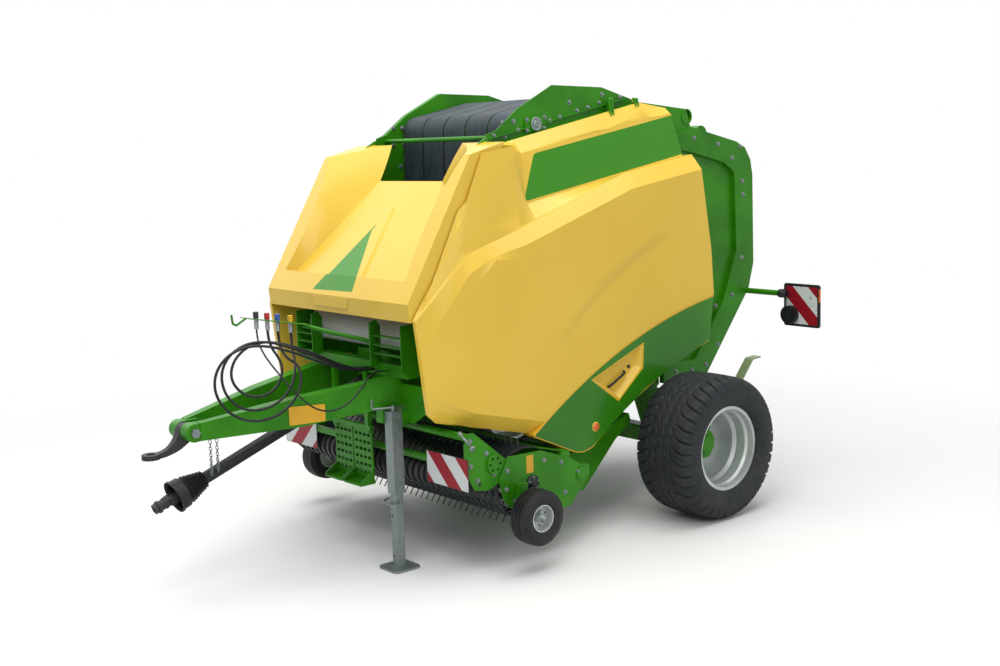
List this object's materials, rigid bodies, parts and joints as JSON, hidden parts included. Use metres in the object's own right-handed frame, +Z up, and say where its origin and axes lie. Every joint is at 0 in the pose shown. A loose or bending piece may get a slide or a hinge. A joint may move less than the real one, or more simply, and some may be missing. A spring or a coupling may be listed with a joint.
{
  "type": "round baler",
  "caption": "Towed round baler with a variable belt chamber, opening tailgate, lifting pick-up, hinged covers and a parking jack.",
  "frame": {"origin": "on the ground below the middle of the machine's box, midway between ring eye and bale kicker", "axes": "+X to the machine's left, +Y to the rear, +Z up"},
  "size_m": [2.824, 5.1703, 3.088],
  "materials": {
    "machine_green": "gloss",
    "cream_plastic": "gloss",
    "green_plastic": "gloss",
    "belt_rubber": "matte",
    "roller_steel": "satin",
    "tyre_rubber": "matte",
    "rim_silver": "satin",
    "zinc": "satin",
    "dark_cast": "satin",
    "black_plastic": "matte",
    "hose_rubber": "satin",
    "board_face": "satin",
    "net_white": "satin",
    "tine_steel": "satin"
  },
  "bodies": {
    "baler": {"axle": "machine_green", "chamber_plate_left": "machine_green", "chamber_plate_right": "machine_green", "rotor_housing_left": "machine_green", "rotor_housing_right": "machine_green", "belts_front": "belt_rubber", "rollers_front": "roller_steel", "drawbar": "machine_green", "ring_eye": "dark_cast", "hitch_bolt": "zinc", "jack_tube": "zinc", "shaft_guard": "black_plastic", "gearbox": "machine_green", "kicker_brackets": "machine_green", "net_roll": "net_white", "front_frame": "machine_green", "step": "machine_green", "hose_rack": "machine_green", "hose_couplings": "zinc", "hose_middle": "hose_rubber", "hose_outer": "hose_rubber", "hose_inner": "hose_rubber", "lamp_cable": "hose_rubber", "cross_rods": "machine_green"},
    "wheel_left": {"tyre_left": "tyre_rubber", "rim_left": "rim_silver", "hub_left": "machine_green"},
    "wheel_right": {"tyre_right": "tyre_rubber", "rim_right": "rim_silver", "hub_right": "machine_green"},
    "pickup": {"pickup_frame": "machine_green", "windguard_frame": "machine_green", "front_boards": "board_face"},
    "reel": {"pickup_reel": "tine_steel"},
    "crop_roller": {"windguard_roller": "dark_cast"},
    "gauge_left": {"gauge_tyre_left": "tyre_rubber", "gauge_rim_left": "rim_silver"},
    "gauge_right": {"gauge_tyre_right": "tyre_rubber", "gauge_rim_right": "rim_silver"},
    "tailgate": {"tailgate_frame": "machine_green", "belts_rear": "belt_rubber", "rollers_rear": "roller_steel", "lamp_arms": "machine_green", "rear_boards": "board_face", "rear_lamps": "black_plastic"},
    "kicker": {"bale_kicker": "machine_green"},
    "hood": {"front_hood": "cream_plastic"},
    "cover_left": {"side_cover_left": "cream_plastic", "cover_band_left": "green_plastic"},
    "cover_right": {"side_cover_right": "cream_plastic", "cover_band_right": "green_plastic"},
    "jack": {"jack_leg": "zinc"},
    "driveline": {"drive_shaft": "dark_cast"}
  },
  "joints": [
    {"name": "wheel_left_spin", "type": "hinge", "parent": "baler", "child": "wheel_left", "pos_m": [1.162, 1.185, 0.515], "axis": [1, 0, 0], "continuous": true},
    {"name": "wheel_right_spin", "type": "hinge", "parent": "baler", "child": "wheel_right", "pos_m": [-1.162, 1.185, 0.515], "axis": [1, 0, 0], "continuous": true},
    {"name": "pickup_lift", "type": "hinge", "parent": "baler", "child": "pickup", "pos_m": [0, 0.035, 0.5], "axis": [1, 0, 0], "range_deg": [0, 14]},
    {"name": "reel_spin", "type": "hinge", "parent": "pickup", "child": "reel", "pos_m": [0, -0.435, 0.52], "axis": [1, 0, 0], "continuous": true},
    {"name": "crop_roller_spin", "type": "hinge", "parent": "pickup", "child": "crop_roller", "pos_m": [0, -0.835, 0.59], "axis": [1, 0, 0], "continuous": true},
    {"name": "gauge_left_spin", "type": "hinge", "parent": "pickup", "child": "gauge_left", "pos_m": [1.222, -0.525, 0.354], "axis": [1, 0, 0], "continuous": true},
    {"name": "gauge_right_spin", "type": "hinge", "parent": "pickup", "child": "gauge_right", "pos_m": [-1.222, -0.525, 0.354], "axis": [1, 0, 0], "continuous": true},
    {"name": "tailgate_open", "type": "hinge", "parent": "baler", "child": "tailgate", "pos_m": [0, 1.135, 2.93], "axis": [1, 0, 0], "range_deg": [0, 60]},
    {"name": "kicker_swing", "type": "hinge", "parent": "baler", "child": "kicker", "pos_m": [0, 1.485, 0.6], "axis": [1, 0, 0], "range_deg": [-25, 0]},
    {"name": "hood_open", "type": "hinge", "parent": "baler", "child": "hood", "pos_m": [0, -0.325, 2.738], "axis": [-1, 0, 0], "range_deg": [0, 55]},
    {"name": "cover_left_open", "type": "hinge", "parent": "baler", "child": "cover_left", "pos_m": [0.662, 0.985, 2.985], "axis": [0, -1, 0], "range_deg": [0, 70]},
    {"name": "cover_right_open", "type": "hinge", "parent": "baler", "child": "cover_right", "pos_m": [-0.662, 0.985, 2.985], "axis": [0, 1, 0], "range_deg": [0, 70]},
    {"name": "jack_slide", "type": "slide", "parent": "baler", "child": "jack", "axis": [0, 0, 1], "range_m": [0, 0.3]},
    {"name": "drive_shaft_spin", "type": "hinge", "parent": "baler", "child": "driveline", "pos_m": [0, -2.184, 0.711], "axis": [0, 0.9379, 0.3469], "continuous": true}
  ]
}
